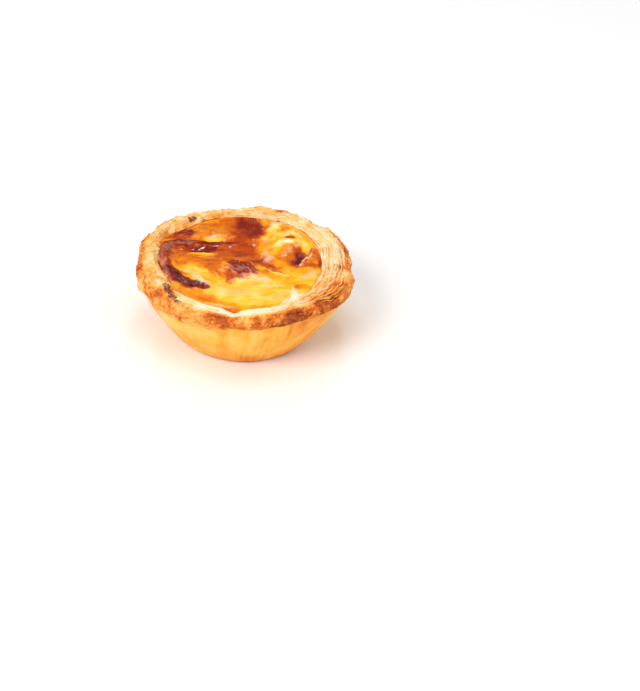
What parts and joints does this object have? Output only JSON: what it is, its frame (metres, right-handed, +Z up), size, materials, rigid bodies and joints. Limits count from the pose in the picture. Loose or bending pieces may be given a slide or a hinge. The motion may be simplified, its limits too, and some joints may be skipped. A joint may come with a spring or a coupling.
{
  "type": "egg tart",
  "caption": "Round baked tart: a flaky pastry case with a thick uneven rolled rim and a flat base, filled to the rim with scorched custard.",
  "frame": {"origin": "middle of the flat base, on the surface that the tart stands on", "axes": "+Z up through the custard; -Y towards the seam where the ends of the rolled rim overlap; +X towards the rim's palest layers"},
  "size_m": [0.0756, 0.0769, 0.029],
  "materials": {
    "pastry": "baked flaky pastry, dry and matte, golden to pale with browner crumbs",
    "custard": "baked custard skin, glossy and wrinkled, yellow with scorched brown patches"
  },
  "bodies": {
    "root": {"pastry_case": "pastry", "custard": "custard"}
  },
  "joints": []
}
